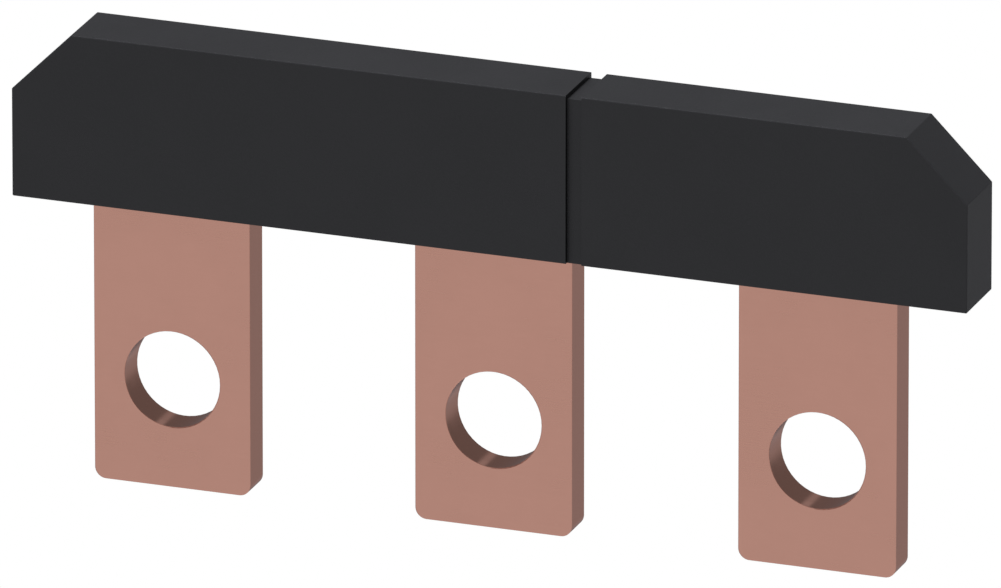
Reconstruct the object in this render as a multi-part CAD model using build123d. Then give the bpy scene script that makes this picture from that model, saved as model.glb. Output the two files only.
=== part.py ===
from build123d import *

import os
from math import isclose

# Contactor connecting link. A stamped copper comb joins three neighbouring poles, and a moulded
# cap insulates its bar.
# X runs from pole to pole, Z runs up along the lugs, and Y = 0 is the contact plane at the back of
# the lugs. The origin is the centre of the middle bolt hole in that plane. All sizes are in mm.

# Copper comb
POLE_PITCH = 37.0
POLE_COUNT = 3
PLATE = 4.0
LUG_WIDTH = 18.0
HOLE_DIAMETER = 11.0
HOLE_TO_END = 12.4
LUG_END_RADIUS = 1.3
BAR_HEIGHT = 15.0
ROOT_RADIUS = 1.0
BAR_CORNER_RADIUS = 1.0
# The punch rolls the edges that it enters by, at the front, and the back ones are only deburred
ROLLED_EDGE = 0.1
DEBURRED_EDGE = 0.1

# Insulating cap
HOLE_TO_CAP = 19.7
SKIRT = 2.3
CAP_WALL = 1.9
CAP_OVERHANG = 8.6
CORNER_CHAMFER = 6.9
CAP_EDGE_RADIUS = 0.15
SIDE_CLEARANCE = 0.2
END_CLEARANCE = 0.1
STOP_RIB = 1.5
LEAD_IN = 0.4

# Crush ribs that centre the bar in its slot, two to a lug on each wall
CRUSH_RIB_WIDTH = 1.0
CRUSH_RIB_SPACING = 10.0
CRUSH_RIB_START = 1.2

# Snap noses under the bar, one between each two lugs on each wall
SNAP_LENGTH = 8.0
SNAP_CATCH = 0.4
SNAP_HEIGHT = 1.6

# Saw groove that guides the cut when one pole is taken off
GROOVE_WIDTH = 1.8
GROOVE_DEPTH = 0.5

# Heights
LUG_END_Z = -HOLE_TO_END
CAP_BOTTOM_Z = HOLE_TO_CAP
BAR_BOTTOM_Z = CAP_BOTTOM_Z + SKIRT
BAR_TOP_Z = BAR_BOTTOM_Z + BAR_HEIGHT
CAP_TOP_Z = BAR_TOP_Z + CAP_WALL

# Lengths along the poles
MIDDLE_X = (POLE_COUNT - 1) / 2 * POLE_PITCH
POLE_X = [pole * POLE_PITCH - MIDDLE_X for pole in range(POLE_COUNT)]
BETWEEN_POLES_X = [x + POLE_PITCH / 2 for x in POLE_X[:-1]]
COMB_LENGTH = POLE_X[-1] - POLE_X[0] + LUG_WIDTH
CAP_LENGTH = COMB_LENGTH + 2 * CAP_OVERHANG
SLOT_LENGTH = COMB_LENGTH + 2 * END_CLEARANCE

# Depths, all centred on the middle of the plate
PLATE_MIDDLE_Y = -PLATE / 2
SLOT_DEPTH = PLATE + 2 * SIDE_CLEARANCE
CAP_DEPTH = SLOT_DEPTH + 2 * CAP_WALL

# The saw runs along the middle lug, on the side of the last pole
GROOVE_X = POLE_X[POLE_COUNT // 2] + LUG_WIDTH / 2

# Sketches of outlines lie on this plane: its x is X, its y is Z and it faces the front
MIDDLE_PLANE = Plane(origin=(0, PLATE_MIDDLE_Y, 0), x_dir=(1, 0, 0), z_dir=(0, -1, 0))


def corners_at(sketch, height):
    """The corners of an outline at one height."""
    return sketch.vertices().filter_by(lambda corner: isclose(corner.Y, height))


def comb_outline():
    """The comb as it is stamped: a bar with a lug below it at each pole."""
    with BuildSketch() as outline:
        with Locations((0, BAR_BOTTOM_Z)):
            Rectangle(COMB_LENGTH, BAR_HEIGHT, align=(Align.CENTER, Align.MIN))
        with Locations(*[(x, LUG_END_Z) for x in POLE_X]):
            Rectangle(LUG_WIDTH, BAR_BOTTOM_Z - LUG_END_Z, align=(Align.CENTER, Align.MIN))
        fillet(corners_at(outline, LUG_END_Z), LUG_END_RADIUS)
        fillet(corners_at(outline, BAR_BOTTOM_Z), ROOT_RADIUS)
        fillet(corners_at(outline, BAR_TOP_Z), BAR_CORNER_RADIUS)
        with Locations(*[(x, 0) for x in POLE_X]):
            Circle(HOLE_DIAMETER / 2, mode=Mode.SUBTRACT)
    return outline.sketch


def copper_comb():
    """The stamped plate, with rolled edges at the front and deburred ones at the back."""
    plate = extrude(MIDDLE_PLANE * comb_outline(), amount=PLATE / 2, both=True)
    plate = fillet(plate.faces().sort_by(Axis.Y).first.edges(), ROLLED_EDGE)
    return chamfer(plate.faces().sort_by(Axis.Y).last.edges(), DEBURRED_EDGE)


def cap_outline():
    """The cap seen from the front: a bar with both upper corners cut off."""
    with BuildSketch() as outline:
        with Locations((0, CAP_BOTTOM_Z)):
            Rectangle(CAP_LENGTH, CAP_TOP_Z - CAP_BOTTOM_Z, align=(Align.CENTER, Align.MIN))
        chamfer(corners_at(outline, CAP_TOP_Z), CORNER_CHAMFER)
    return outline.sketch


def through_cap(outline, depth):
    """An outline made solid, evenly to both sides of the plate's middle."""
    return extrude(MIDDLE_PLANE * outline, amount=depth / 2, both=True)


def cap_block():
    """The outside of the cap, with every edge slightly rounded as the mould leaves it."""
    block = through_cap(cap_outline(), CAP_DEPTH)
    return fillet(block.edges(), CAP_EDGE_RADIUS)


def cut_bar_slot(block):
    """Open the slot that takes the bar, with a bevelled mouth."""
    slot = Pos(0, PLATE_MIDDLE_Y, CAP_BOTTOM_Z) * Box(
        SLOT_LENGTH, SLOT_DEPTH, BAR_TOP_Z - CAP_BOTTOM_Z, align=(Align.CENTER, Align.CENTER, Align.MIN)
    )
    block -= slot
    underside = block.faces().sort_by(Axis.Z).first
    return chamfer(underside.inner_wires().edges(), LEAD_IN)


def end_chambers():
    """The hollows past the bar's ends, open below, one wall inside the cap's outline all round."""
    inside = offset(cap_outline(), amount=-CAP_WALL, kind=Kind.INTERSECTION)
    inside += Pos(0, CAP_BOTTOM_Z) * Rectangle(CAP_LENGTH - 2 * CAP_WALL, 2 * CAP_WALL)
    between_ribs = Rectangle(SLOT_LENGTH + 2 * STOP_RIB, 2 * CAP_TOP_Z)
    return through_cap(inside - between_ribs, SLOT_DEPTH)


def crush_rib(x, side):
    """A rib on one wall of the slot that just touches the face of the plate."""
    start_z = CAP_BOTTOM_Z + CRUSH_RIB_START
    thick = SIDE_CLEARANCE + CAP_WALL / 2
    rib = Box(CRUSH_RIB_WIDTH, thick, BAR_TOP_Z - start_z, align=(Align.CENTER, Align.MIN, Align.MIN))
    rib = Pos(x, PLATE / 2, start_z) * rib
    return mirrored_to(side, rib)


def snap_nose(x, side):
    """A nose on one wall, flat on top where the bar's lower edge rests and sloped below."""
    root = PLATE / 2 + SIDE_CLEARANCE + CAP_WALL / 2
    wall = PLATE / 2 + SIDE_CLEARANCE
    tip = PLATE / 2 - SNAP_CATCH
    section = Polyline(
        (root, BAR_BOTTOM_Z),
        (tip, BAR_BOTTOM_Z),
        (wall, BAR_BOTTOM_Z - SNAP_HEIGHT),
        (root, BAR_BOTTOM_Z - SNAP_HEIGHT),
        close=True,
    )
    nose = Pos(x, 0, 0) * extrude(Plane.YZ * make_face(section), amount=SNAP_LENGTH / 2, both=True)
    return mirrored_to(side, nose)


def mirrored_to(side, shape):
    """A shape made behind the plate's middle, put there or mirrored to the front."""
    if side < 0:
        shape = mirror(shape, about=Plane.XZ)
    return Pos(0, PLATE_MIDDLE_Y, 0) * shape


def holding_ribs():
    """Everything in the slot that centres the bar and holds it in."""
    crush_x = [x + end * CRUSH_RIB_SPACING / 2 for x in POLE_X for end in (-1, 1)]
    ribs = [crush_rib(x, side) for x in crush_x for side in (-1, 1)]
    noses = [snap_nose(x, side) for x in BETWEEN_POLES_X for side in (-1, 1)]
    return ribs + noses


def saw_groove():
    """The shallow groove over the front, the top and the back. The underside has none."""
    core = Rectangle(CAP_DEPTH - 2 * GROOVE_DEPTH, 2 * (CAP_TOP_Z - GROOVE_DEPTH))
    around = Rectangle(2 * CAP_DEPTH, 4 * CAP_TOP_Z)
    ring = extrude(Plane.YZ * (around - core), amount=GROOVE_WIDTH)
    return Pos(GROOVE_X, PLATE_MIDDLE_Y, 0) * ring


def insulating_cap():
    """The moulded cap with its slot, hollows, ribs, noses and groove."""
    cap = cut_bar_slot(cap_block())
    cap -= end_chambers()
    cap += holding_ribs()
    cap -= saw_groove()
    return cap


os.makedirs("parts", exist_ok=True)
export_step(copper_comb(), "parts/copper_comb.step")
export_step(insulating_cap(), "parts/insulating_cap.step")
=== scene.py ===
"""Contactor connecting link: a stamped copper comb in a moulded black cap, in a white studio.

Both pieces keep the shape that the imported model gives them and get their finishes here. Lengths
are in metres unless a name ends in _mm, and angles are in degrees.
"""

import logging
import math
from abc import ABC, abstractmethod
from dataclasses import dataclass
from enum import Enum
from typing import ClassVar

import bpy
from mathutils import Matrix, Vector


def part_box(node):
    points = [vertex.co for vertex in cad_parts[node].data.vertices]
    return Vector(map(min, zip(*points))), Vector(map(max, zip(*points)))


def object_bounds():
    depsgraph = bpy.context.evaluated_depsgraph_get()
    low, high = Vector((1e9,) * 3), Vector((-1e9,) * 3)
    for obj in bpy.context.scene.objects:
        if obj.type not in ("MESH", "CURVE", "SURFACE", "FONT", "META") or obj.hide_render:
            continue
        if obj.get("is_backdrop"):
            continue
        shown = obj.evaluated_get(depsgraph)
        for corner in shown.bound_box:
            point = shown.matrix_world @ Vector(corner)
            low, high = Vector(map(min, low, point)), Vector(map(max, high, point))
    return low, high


Colour = tuple[float, float, float]
Triple = tuple[float, float, float]
Socket = bpy.types.NodeSocket
Number = Socket | float
Paint = Socket | Colour

MM_PER_M = 1000.0
OPAQUE = 1.0
MIDDLE_OF_NOISE = 0.5
# How much of a face's direction lies along X, at least, when the face looks sideways
SIDEWAYS = 0.9
WHITE: Colour = (1.0, 1.0, 1.0)
DAYLIGHT: Colour = (0.99, 1.0, 1.06)

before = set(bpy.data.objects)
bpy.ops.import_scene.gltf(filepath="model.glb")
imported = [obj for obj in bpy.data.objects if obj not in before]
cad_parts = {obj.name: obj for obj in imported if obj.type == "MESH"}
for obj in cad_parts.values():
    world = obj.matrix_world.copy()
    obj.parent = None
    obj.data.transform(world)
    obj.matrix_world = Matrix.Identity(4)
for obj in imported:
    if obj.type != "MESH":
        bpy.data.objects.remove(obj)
CAD_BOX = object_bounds()
log = logging.getLogger("connecting_link")


@dataclass(frozen=True)
class Ramp:
    """A smooth rise from 0, at one number, to 1, at another one that may be the smaller."""

    zero: float
    one: float


class Lay(Enum):
    """Which way a pattern runs: how many waves it has to the millimetre in each direction."""

    EVEN = (1.0, 1.0, 1.0)
    ALONG_STRIP = (0.22, 2.0, 4.5)
    ALONG_STRIP_FINE = (0.60, 4.5, 9.0)
    ALONG_PUNCH = (9.0, 0.40, 9.0)


@dataclass(frozen=True)
class Pattern:
    """Smooth noise with a lay, a number of finer layers, and a scale that multiplies the lay's."""

    lay: Lay
    layers: float
    scale: float = 1.0

    def waves_per_mm(self) -> Triple:
        """Return how many waves there are to the millimetre in each direction."""
        x, y, z = self.lay.value
        return (x * self.scale, y * self.scale, z * self.scale)


class Graph:
    """A node tree, built step by step."""

    def __init__(self, tree: bpy.types.NodeTree) -> None:
        """Empty the tree that is to be filled."""
        self.tree = tree
        tree.nodes.clear()

    def node(self, kind: str, **settings: object) -> bpy.types.Node:
        """Add a node.

        Args:
            kind: Blender's name of the node's type.
            settings: properties to set on it.

        Returns:
            The new node.
        """
        made = self.tree.nodes.new(kind)
        for name, value in settings.items():
            setattr(made, name, value)
        return made

    def feed(self, socket: Socket, value: Number | Paint) -> None:
        """Link an output to an input, or set the input's own value.

        Args:
            socket: the input to fill.
            value: an output, a number, a direction, or a colour, which is made opaque.
        """
        if isinstance(value, Socket):
            self.tree.links.new(value, socket)
        elif socket.type == "RGBA":
            socket.default_value = (*value, OPAQUE)
        else:
            socket.default_value = value

    def calculate(self, operation: str, *values: Number) -> Socket:
        """Work out a number.

        Args:
            operation: Blender's name of the operation.
            values: what it works on.

        Returns:
            The result.
        """
        made = self.node("ShaderNodeMath", operation=operation)
        for socket, value in zip(made.inputs, values):
            self.feed(socket, value)
        return made.outputs[0]

    def add(self, total: Number, *others: Number) -> Number:
        """Add up numbers.

        Args:
            total: the first number.
            others: the numbers to add to it.

        Returns:
            The sum.
        """
        for other in others:
            total = self.calculate("ADD", total, other)
        return total

    def subtract(self, first: Number, second: Number) -> Socket:
        """Return the first number less the second."""
        return self.calculate("SUBTRACT", first, second)

    def multiply(self, first: Number, second: Number) -> Socket:
        """Return the product of two numbers."""
        return self.calculate("MULTIPLY", first, second)

    def absolute(self, value: Number) -> Socket:
        """Return a number without its sign."""
        return self.calculate("ABSOLUTE", value)

    def above(self, value: Number, limit: float) -> Socket:
        """Return 1 where a number is above a limit, and 0 elsewhere."""
        return self.calculate("GREATER_THAN", value, limit)

    def below(self, value: Number, limit: float) -> Socket:
        """Return 1 where a number is below a limit, and 0 elsewhere."""
        return self.calculate("LESS_THAN", value, limit)

    def combine(self, operation: str, first: Socket, second: Triple) -> bpy.types.Node:
        """Work on two vectors.

        Args:
            operation: Blender's name of the operation.
            first: the first vector.
            second: the second vector.

        Returns:
            The node, which has both a vector and a number to give.
        """
        made = self.node("ShaderNodeVectorMath", operation=operation)
        self.feed(made.inputs[0], first)
        self.feed(made.inputs[1], second)
        return made

    def split(self, vector: Socket) -> list[Socket]:
        """Return the three parts of a vector.

        Args:
            vector: the vector to take apart.

        Returns:
            Its parts along X, Y and Z.
        """
        made = self.node("ShaderNodeSeparateXYZ")
        self.feed(made.inputs[0], vector)
        return list(made.outputs)

    def step(self, value: Number, ramp: Ramp) -> Socket:
        """Follow a ramp.

        Args:
            value: the number that the ramp looks at.
            ramp: where it is 0 and where it is 1.

        Returns:
            How far up the ramp the number is, from 0 to 1.
        """
        falls = ramp.zero > ramp.one
        made = self.node("ShaderNodeMapRange", interpolation_type="SMOOTHSTEP")
        self.feed(made.inputs["Value"], value)
        self.feed(made.inputs["From Min"], min(ramp.zero, ramp.one))
        self.feed(made.inputs["From Max"], max(ramp.zero, ramp.one))
        self.feed(made.inputs["To Min"], float(falls))
        self.feed(made.inputs["To Max"], float(not falls))
        return made.outputs["Result"]

    def blend(self, share: Number, first: Number, second: Number) -> Socket:
        """Go from one number to another.

        Args:
            share: how far to go, from 0 to 1.
            first: the number at 0.
            second: the number at 1.

        Returns:
            The number in between.
        """
        made = self.node("ShaderNodeMix", data_type="FLOAT")
        self.feed(made.inputs["Factor"], share)
        self.feed(made.inputs["A"], first)
        self.feed(made.inputs["B"], second)
        return made.outputs["Result"]

    def mix(self, share: Number, first: Paint, second: Paint) -> Socket:
        """Go from one colour to another.

        Args:
            share: how far to go, from 0 to 1.
            first: the colour at 0.
            second: the colour at 1.

        Returns:
            The colour in between.
        """
        made = self.node("ShaderNodeMixRGB")
        self.feed(made.inputs["Fac"], share)
        self.feed(made.inputs["Color1"], first)
        self.feed(made.inputs["Color2"], second)
        return made.outputs["Color"]


class SurfaceGraph(Graph):
    """A material's node tree, with the places and directions that finishes go by.

    An edge is where the surface turns from a side to the front or the back. off_side and off_face
    say, in flatness, where the one is left and where the other is reached.
    """

    off_side: ClassVar[Ramp] = Ramp(zero=0.10, one=0.45)
    off_face: ClassVar[Ramp] = Ramp(zero=0.995, one=0.80)

    def __init__(self, name: str) -> None:
        """Make a new material.

        Args:
            name: the material's name.
        """
        self.material = bpy.data.materials.new(name)
        self.material.use_nodes = True
        super().__init__(self.material.node_tree)
        where = self.node("ShaderNodeTexCoord")
        to_mm = (MM_PER_M, MM_PER_M, MM_PER_M)
        self.place_mm = self.combine("MULTIPLY", where.outputs["Object"], to_mm).outputs["Vector"]
        self.facing = where.outputs["Normal"]
        self.shader = self.node("ShaderNodeBsdfPrincipled")
        output = self.node("ShaderNodeOutputMaterial")
        self.feed(output.inputs["Surface"], self.shader.outputs[0])

    def set(self, **values: object) -> None:
        """Fill inputs of the shader, which are named here with _ for a space."""
        for name, value in values.items():
            self.feed(self.shader.inputs[name.replace("_", " ")], value)

    def flatness(self) -> Socket:
        """Return how squarely the surface faces the front or the back: 1 there and 0 on its sides."""
        return self.absolute(self.split(self.facing)[1])

    def edges(self, flatness: Socket) -> Socket:
        """Return 1 on the edges of the front and the back, found by their flatness, and 0 elsewhere."""
        return self.multiply(self.step(flatness, self.off_side), self.step(flatness, self.off_face))

    def noise(self, pattern: Pattern) -> Socket:
        """Lay smooth noise over the surface.

        Args:
            pattern: its lay, layers and scale.

        Returns:
            The noise, from 0 to 1.
        """
        waves = self.combine("MULTIPLY", self.place_mm, pattern.waves_per_mm())
        made = self.node("ShaderNodeTexNoise")
        self.feed(made.inputs["Vector"], waves.outputs["Vector"])
        self.feed(made.inputs["Scale"], 1.0)
        self.feed(made.inputs["Detail"], pattern.layers)
        return made.outputs["Fac"]

    def bump(self, height: Socket, depth_mm: float, below: Socket | None = None) -> Socket:
        """Turn heights into a bent normal.

        Args:
            height: the heights, from 0 to 1.
            depth_mm: how deep the relief is from 0 to 1.
            below: a normal that is already bent, or None.

        Returns:
            The bent normal.
        """
        made = self.node("ShaderNodeBump")
        self.feed(made.inputs["Strength"], 1.0)
        self.feed(made.inputs["Distance"], depth_mm / MM_PER_M)
        self.feed(made.inputs["Height"], height)
        if below is not None:
            self.feed(made.inputs["Normal"], below)
        return made.outputs["Normal"]


@dataclass(frozen=True)
class CopperFinish:
    """Cold-rolled copper with an even satin tarnish, sheared at its sides and worn at its edges."""

    # Its colours, and the tint of light that only grazes it
    clean: Colour = (0.852, 0.450, 0.339)
    tarnished: Colour = (0.817, 0.431, 0.324)
    worn: Colour = (0.862, 0.463, 0.351)
    grazing: Colour = (1.0, 0.90, 0.88)

    # The tarnish: its patterns, how much each counts, and what it does to the surface
    clouds: Pattern = Pattern(Lay.EVEN, layers=3.0, scale=0.10)
    clouds_share: float = 0.45
    blotches: Pattern = Pattern(Lay.EVEN, layers=3.0, scale=0.55)
    blotches_share: float = 0.20
    grain_share: float = 0.27
    fine_grain_share: float = 0.08
    tarnish_rise: Ramp = Ramp(zero=0.30, one=0.70)
    tarnish_dulling: float = 0.05
    edge_wear: float = 0.5

    # The rolled faces
    face_roughness: float = 0.235
    grain: Pattern = Pattern(Lay.ALONG_STRIP, layers=4.0)
    grain_mm: float = 0.0030
    fine_grain: Pattern = Pattern(Lay.ALONG_STRIP_FINE, layers=2.0)
    fine_grain_mm: float = 0.0005

    # The sheared sides, told from the faces by their flatness. The punch burnishes them down to a
    # ragged line, and from there on they tear
    sheared: Ramp = Ramp(zero=0.35, one=0.05)
    punch_lines: Pattern = Pattern(Lay.ALONG_PUNCH, layers=3.0)
    punch_lines_mm: float = 0.0015
    burnished_roughness: float = 0.150
    burnished_depth_mm: float = 1.3
    tear: Pattern = Pattern(Lay.EVEN, layers=4.0, scale=0.9)
    tear_range_mm: float = 0.9
    tear_blur_mm: float = 0.15
    torn_roughness: float = 0.185
    torn_tarnish: float = 0.4

    def material(self, plate_front_mm: float) -> bpy.types.Material:
        """Make the material.

        Args:
            plate_front_mm: where the plate's front face is along Y, which the punch goes in by.

        Returns:
            The material.
        """
        g = SurfaceGraph("copper")
        flatness = g.flatness()
        sheared = g.step(flatness, self.sheared)
        rolled = g.subtract(1.0, sheared)
        torn = g.multiply(sheared, self.torn(g, plate_front_mm))
        worn = g.multiply(g.edges(flatness), self.edge_wear)
        grain = g.noise(self.grain)
        fine_grain = g.noise(self.fine_grain)
        punch_lines = g.noise(self.punch_lines)
        tarnish = self.tarnish(g, grain, fine_grain)

        colour = g.mix(tarnish, self.clean, self.tarnished)
        colour = g.mix(worn, colour, self.worn)
        colour = g.mix(g.multiply(torn, self.torn_tarnish), colour, self.tarnished)

        face_roughness = g.add(self.face_roughness, g.multiply(tarnish, self.tarnish_dulling))
        side_roughness = g.blend(torn, self.burnished_roughness, self.torn_roughness)

        normal = g.bump(g.multiply(grain, rolled), self.grain_mm)
        normal = g.bump(g.multiply(fine_grain, rolled), self.fine_grain_mm, normal)
        normal = g.bump(g.multiply(punch_lines, sheared), self.punch_lines_mm, normal)

        g.set(
            Base_Color=colour,
            Metallic=1.0,
            Roughness=g.blend(sheared, face_roughness, side_roughness),
            Specular_Tint=self.grazing,
            Normal=normal,
        )
        return g.material

    def tarnish(self, g: SurfaceGraph, grain: Socket, fine_grain: Socket) -> Socket:
        """Say how tarnished the copper is: in wide clouds, in small blotches and along its grain.

        Args:
            g: the graph to add to.
            grain: the grain's heights.
            fine_grain: the finer grain's heights.

        Returns:
            The tarnish, from 0 to 1.
        """
        total = g.add(
            g.multiply(g.noise(self.clouds), self.clouds_share),
            g.multiply(g.noise(self.blotches), self.blotches_share),
            g.multiply(grain, self.grain_share),
            g.multiply(fine_grain, self.fine_grain_share),
        )
        return g.step(total, self.tarnish_rise)

    def torn(self, g: SurfaceGraph, plate_front_mm: float) -> Socket:
        """Tell the torn part of a sheared side from the part that the punch burnished.

        Args:
            g: the graph to add to.
            plate_front_mm: where the plate's front face is along Y.

        Returns:
            1 on the torn part and 0 on the burnished one.
        """
        depth_mm = g.subtract(g.split(g.place_mm)[1], plate_front_mm)
        ragged_mm = g.multiply(g.subtract(g.noise(self.tear), MIDDLE_OF_NOISE), self.tear_range_mm)
        burnished, blur = self.burnished_depth_mm, self.tear_blur_mm
        return g.step(g.add(depth_mm, ragged_mm), Ramp(zero=burnished - blur, one=burnished + blur))


@dataclass(frozen=True)
class PlasticFinish:
    """Black flame-retardant polyamide from a spark-eroded mould, slightly polished at its edges, with
    painted shade on the saw groove's sides.
    """

    base: Colour = (0.0113, 0.0113, 0.0117)
    paler: Colour = (0.0140, 0.0140, 0.0145)
    fleck: Colour = (0.026, 0.026, 0.027)
    rubbed: Colour = (0.019, 0.019, 0.020)
    # Painted shade: a near-black colour for the saw groove's sides, where shade falls
    painted_groove_shade: Colour = (0.0012, 0.0012, 0.0013)

    # The grain that the mould leaves, and the clouds and flecks of the compound
    grain: Pattern = Pattern(Lay.EVEN, layers=2.0, scale=5.0)
    grain_mm: float = 0.016
    grain_share: float = 0.45
    clouds: Pattern = Pattern(Lay.EVEN, layers=4.0, scale=0.09)
    clouds_share: float = 0.55
    paler_rise: Ramp = Ramp(zero=0.35, one=0.65)
    flecks: Pattern = Pattern(Lay.EVEN, layers=1.0, scale=11.0)
    flecks_rise: Ramp = Ramp(zero=0.62, one=0.74)
    flecks_share: float = 0.5
    edge_wear: float = 0.5

    roughness: float = 0.49
    roughness_range: float = 0.10
    edge_polish: float = 0.06
    specular: float = 0.5

    # How far beyond the saw groove a face may lie and still count as one of its sides
    groove_margin_mm: float = 0.1

    def material(self, groove_mm: tuple[float, float]) -> bpy.types.Material:
        """Make the material.

        Args:
            groove_mm: where the saw groove begins and ends along X.

        Returns:
            The material.
        """
        g = SurfaceGraph("black_plastic")
        edges = g.edges(g.flatness())
        grain = g.noise(self.grain)
        flecks = g.step(g.noise(self.flecks), self.flecks_rise)
        tone = g.add(
            g.multiply(g.noise(self.clouds), self.clouds_share),
            g.multiply(grain, self.grain_share),
        )

        colour = g.mix(g.step(tone, self.paler_rise), self.base, self.paler)
        colour = g.mix(g.multiply(flecks, self.flecks_share), colour, self.fleck)
        colour = g.mix(g.multiply(edges, self.edge_wear), colour, self.rubbed)
        # Painted shade: the saw groove's sides are coloured near-black
        colour = g.mix(self.groove_shade_mask(g, groove_mm), colour, self.painted_groove_shade)

        smoothest = self.roughness - self.roughness_range / 2
        roughness = g.add(smoothest, g.multiply(tone, self.roughness_range))
        roughness = g.subtract(roughness, g.multiply(edges, self.edge_polish))

        g.set(
            Base_Color=colour,
            Roughness=roughness,
            Specular_IOR_Level=self.specular,
            Normal=g.bump(grain, self.grain_mm),
        )
        return g.material

    def groove_shade_mask(self, g: SurfaceGraph, groove_mm: tuple[float, float]) -> Socket:
        """Find both sides of the saw groove, which get painted shade because they lie deep in shade.

        Args:
            g: the graph to add to.
            groove_mm: where the saw groove begins and ends along X.

        Returns:
            1 on the sides, where the shade is painted, and 0 elsewhere.
        """
        begins, ends = groove_mm
        along = g.split(g.place_mm)[0]
        past_begin = g.above(along, begins - self.groove_margin_mm)
        before_end = g.below(along, ends + self.groove_margin_mm)
        sideways = g.above(g.absolute(g.split(g.facing)[0]), SIDEWAYS)
        return g.multiply(g.multiply(past_begin, before_end), sideways)


@dataclass
class Piece(ABC):
    """One piece of the link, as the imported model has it."""

    node: str

    @property
    def mesh(self) -> bpy.types.Mesh:
        """Return the piece's mesh."""
        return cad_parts[self.node].data

    @abstractmethod
    def material(self) -> bpy.types.Material:
        """Make the piece's material and return it."""

    def dress(self) -> None:
        """Give the piece its material."""
        material = self.material()
        self.mesh.materials.clear()
        self.mesh.materials.append(material)
        low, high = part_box(self.node)
        size_mm = [round(length * MM_PER_M, 1) for length in high - low]
        log.info("%s: %s mm, finished in %s", self.node, size_mm, material.name)


@dataclass
class CopperComb(Piece):
    """The stamped plate: a bar in the cap and three lugs with bolt holes below it."""

    node: str = "copper_comb"
    finish: CopperFinish = CopperFinish()

    def material(self) -> bpy.types.Material:
        """Make the copper, sheared from the front face on, and return it."""
        return self.finish.material(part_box(self.node)[0].y * MM_PER_M)


@dataclass
class InsulatingCap(Piece):
    """The moulded cap over the bar, with a saw groove round it."""

    node: str = "insulating_cap"
    finish: PlasticFinish = PlasticFinish()
    touching_mm: float = 0.01

    def material(self) -> bpy.types.Material:
        """Make the black plastic, with painted shade on the groove's sides, and return it."""
        return self.finish.material(self.groove_mm())

    def groove_mm(self) -> tuple[float, float]:
        """Find the saw groove: its sides are the only faces that look sideways and touch the front.

        The cap's own ends don't touch its front, because their edges are round.

        Returns:
            Where the groove begins and ends along X, in millimetres.
        """
        mesh = self.mesh
        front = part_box(self.node)[0].y + self.touching_mm / MM_PER_M
        sides_mm = []
        for face in mesh.polygons:
            corners = [mesh.vertices[index].co for index in face.vertices]
            if abs(face.normal.x) > SIDEWAYS and min(corner.y for corner in corners) < front:
                sides_mm.append(corners[0].x * MM_PER_M)
        return min(sides_mm), max(sides_mm)


@dataclass(frozen=True)
class Softbox:
    """One soft light, far away in a given direction, which fades out towards its rim."""

    name: str
    towards: Triple
    half_angle: float
    brightness: float

    # How far out it is fully bright, and where it ends, in half angles
    core: ClassVar[float] = 0.5
    rim: ClassVar[float] = 1.5

    def glow(self, g: Graph, ray: Socket) -> Socket:
        """Say how much light comes along a ray.

        Args:
            g: the graph to add to.
            ray: the ray's direction.

        Returns:
            The brightness.
        """
        nearness = g.combine("DOT_PRODUCT", ray, Vector(self.towards).normalized()).outputs["Value"]
        fade = Ramp(zero=self.nearness_at(self.rim), one=self.nearness_at(self.core))
        return g.multiply(g.step(nearness, fade), self.brightness)

    def nearness_at(self, half_angles: float) -> float:
        """Return the cosine of the angle from the middle, which is given in half angles."""
        return math.cos(math.radians(self.half_angle * half_angles))


def soft_boxes() -> tuple[Softbox, ...]:
    """Return the lights of the tent."""
    return (
        Softbox("front", towards=(-0.10, -0.93, -0.30), half_angle=50.0, brightness=0.390),
        Softbox("front_high", towards=(0.10, -0.80, 0.60), half_angle=38.0, brightness=0.075),
        Softbox("overhead", towards=(-0.10, 0.10, 1.00), half_angle=34.0, brightness=0.306),
        Softbox("right", towards=(0.97, -0.10, -0.16), half_angle=34.0, brightness=0.300),
        Softbox("left", towards=(-0.97, -0.10, 0.10), half_angle=30.0, brightness=0.100),
        Softbox("back_left", towards=(-0.95, 0.30, 0.05), half_angle=26.0, brightness=0.325),
        Softbox("back_right", towards=(0.90, 0.45, -0.35), half_angle=22.0, brightness=0.098),
        Softbox("behind", towards=(0.00, 0.99, -0.12), half_angle=14.0, brightness=0.480),
        Softbox("back_low", towards=(0.28, 0.80, -0.53), half_angle=18.0, brightness=0.131),
        Softbox("back_under", towards=(0.22, 0.65, -0.73), half_angle=14.0, brightness=0.600),
        Softbox("floor_bounce", towards=(0.00, 0.00, -1.00), half_angle=40.0, brightness=0.265),
        Softbox("back_fill_right", towards=(0.75, 0.65, -0.14), half_angle=14.0, brightness=0.200),
        Softbox("back_fill_left", towards=(-0.76, 0.62, -0.20), half_angle=14.0, brightness=0.260),
        Softbox("strip", towards=(-0.105, 0.883, 0.457), half_angle=4.0, brightness=0.180),
    )


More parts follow.
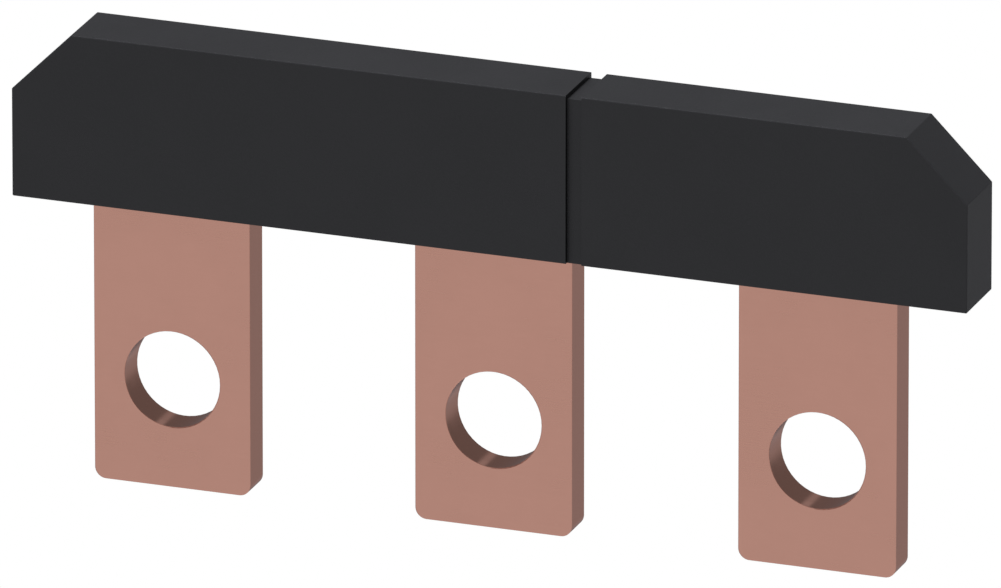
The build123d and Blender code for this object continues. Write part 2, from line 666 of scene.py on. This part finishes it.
@dataclass(frozen=True)
class LightTent:
    """The soft light round the object, from a dim tent with several softboxes."""

    cloth: float = 0.136
    tint: Colour = DAYLIGHT
    boxes: tuple[Softbox, ...] = soft_boxes()
    backdrop: float = 1.0

    def build(self) -> None:
        """Light the object softly, and show the camera plain white behind it."""
        world = bpy.data.worlds.new("light_tent")
        world.use_nodes = True
        bpy.context.scene.world = world
        g = Graph(world.node_tree)
        ray = g.node("ShaderNodeTexCoord").outputs["Generated"]
        glows = [box.glow(g, ray) for box in self.boxes]
        either = g.node("ShaderNodeMixShader")
        g.feed(either.inputs[0], g.node("ShaderNodeLightPath").outputs["Is Camera Ray"])
        g.feed(either.inputs[1], self.shine(g, self.tint, g.add(self.cloth, *glows)))
        g.feed(either.inputs[2], self.shine(g, WHITE, self.backdrop))
        output = g.node("ShaderNodeOutputWorld")
        g.feed(output.inputs["Surface"], either.outputs[0])
        log.info("light tent: %s", ", ".join(box.name for box in self.boxes))

    def shine(self, g: Graph, colour: Colour, strength: Number) -> Socket:
        """Make a light that comes from all round.

        Args:
            g: the graph to add to.
            colour: the light's colour.
            strength: how bright it is.

        Returns:
            The light.
        """
        made = g.node("ShaderNodeBackground")
        g.feed(made.inputs["Color"], colour)
        g.feed(made.inputs["Strength"], strength)
        return made.outputs[0]


@dataclass(frozen=True)
class KeyLight:
    """A large lamp overhead, flagged off the metal so that it makes no glints there."""

    towards: Triple = (-0.22, -0.06, 0.97)
    brightness: float = 6.9
    spread: float = 30.0
    tint: Colour = DAYLIGHT

    def build(self) -> None:
        """Hang the lamp."""
        data = bpy.data.lights.new("key_light", "SUN")
        data.energy = self.brightness
        data.angle = math.radians(self.spread)
        data.color = self.tint
        lamp = bpy.data.objects.new("key_light", data)
        bpy.context.scene.collection.objects.link(lamp)
        lamp.rotation_mode = "QUATERNION"
        lamp.rotation_quaternion = Vector(self.towards).to_track_quat("Z", "Y")
        lamp.visible_glossy = False
        log.info("key light: from %s", self.towards)


@dataclass(frozen=True)
class Floor:
    """A plain pale floor, well below the object, which hangs from its bolts in use."""

    half_size: float = 40.0
    below: float = 0.3
    glow: float = 1.0

    def build(self, lowest: float) -> None:
        """Lay the floor, which throws no light on the object.

        Args:
            lowest: the object's lowest point.
        """
        side, height = self.half_size, lowest - self.below
        corners = [(x * side, y * side, height) for x, y in ((-1, -1), (1, -1), (1, 1), (-1, 1))]
        mesh = bpy.data.meshes.new("floor")
        mesh.from_pydata(corners, [], [range(len(corners))])
        mesh.materials.append(self.material())
        floor = bpy.data.objects.new("floor", mesh)
        bpy.context.scene.collection.objects.link(floor)
        floor.visible_diffuse = False
        floor.visible_glossy = False
        floor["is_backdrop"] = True
        log.info("floor: %.2f m below the object", self.below)

    def material(self) -> bpy.types.Material:
        """Make the floor's even white.

        Returns:
            The material.
        """
        material = bpy.data.materials.new("floor")
        material.use_nodes = True
        g = Graph(material.node_tree)
        light = g.node("ShaderNodeEmission")
        g.feed(light.inputs["Color"], WHITE)
        g.feed(light.inputs["Strength"], self.glow)
        output = g.node("ShaderNodeOutputMaterial")
        g.feed(output.inputs["Surface"], light.outputs[0])
        return material


@dataclass(frozen=True)
class PhotoCamera:
    """A camera with a very long lens, where the photograph was taken from."""

    azimuth: float = 20.0
    elevation: float = 20.0
    lens_mm: float = 1000.0
    sensor_mm: float = 36.0
    distance: float = 2.994

    # It aims a little beside the middle of the object's box
    aim_offset_mm: Triple = (0.090, 0.0, 0.545)

    # What is nearer or farther than this isn't seen, in distances
    nearest: float = 0.1
    farthest: float = 30.0

    def place(self) -> None:
        """Make the camera, aim it at the object and let the scene use it."""
        azimuth, elevation = math.radians(self.azimuth), math.radians(self.elevation)
        ahead = math.cos(elevation)
        back = Vector((math.sin(azimuth) * ahead, -math.cos(azimuth) * ahead, math.sin(elevation)))
        middle = (Vector(CAD_BOX[0]) + Vector(CAD_BOX[1])) / 2
        data = bpy.data.cameras.new("camera")
        data.lens = self.lens_mm
        data.sensor_width = self.sensor_mm
        data.clip_start = self.distance * self.nearest
        data.clip_end = self.distance * self.farthest
        camera = bpy.data.objects.new("camera", data)
        bpy.context.scene.collection.objects.link(camera)
        camera.location = middle + Vector(self.aim_offset_mm) / MM_PER_M + back * self.distance
        camera.rotation_mode = "QUATERNION"
        camera.rotation_quaternion = (-back).to_track_quat("-Z", "Y")
        bpy.context.scene.camera = camera
        log.info("camera: %.3f m away, %.0f mm lens", self.distance, self.lens_mm)


@dataclass(frozen=True)
class Studio:
    """Everything round the object: camera, light and floor."""

    camera: PhotoCamera = PhotoCamera()
    tent: LightTent = LightTent()
    key: KeyLight = KeyLight()
    floor: Floor = Floor()

    def build(self) -> None:
        """Set up the studio round the object."""
        bpy.context.scene.view_settings.view_transform = "Standard"
        self.camera.place()
        self.tent.build()
        self.key.build()
        self.floor.build(CAD_BOX[0].z)


def write_sizes() -> None:
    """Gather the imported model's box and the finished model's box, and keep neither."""
    boxes = {"cad": CAD_BOX, "visual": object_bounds()}
    {name: [list(corner) for corner in box] for name, box in boxes.items()}


def main() -> None:
    """Dress both pieces and set up the studio."""
    logging.basicConfig(level=logging.INFO, format="%(message)s")
    for piece in (CopperComb(), InsulatingCap()):
        piece.dress()
    Studio().build()
    write_sizes()


if __name__ == "__main__":
    main()
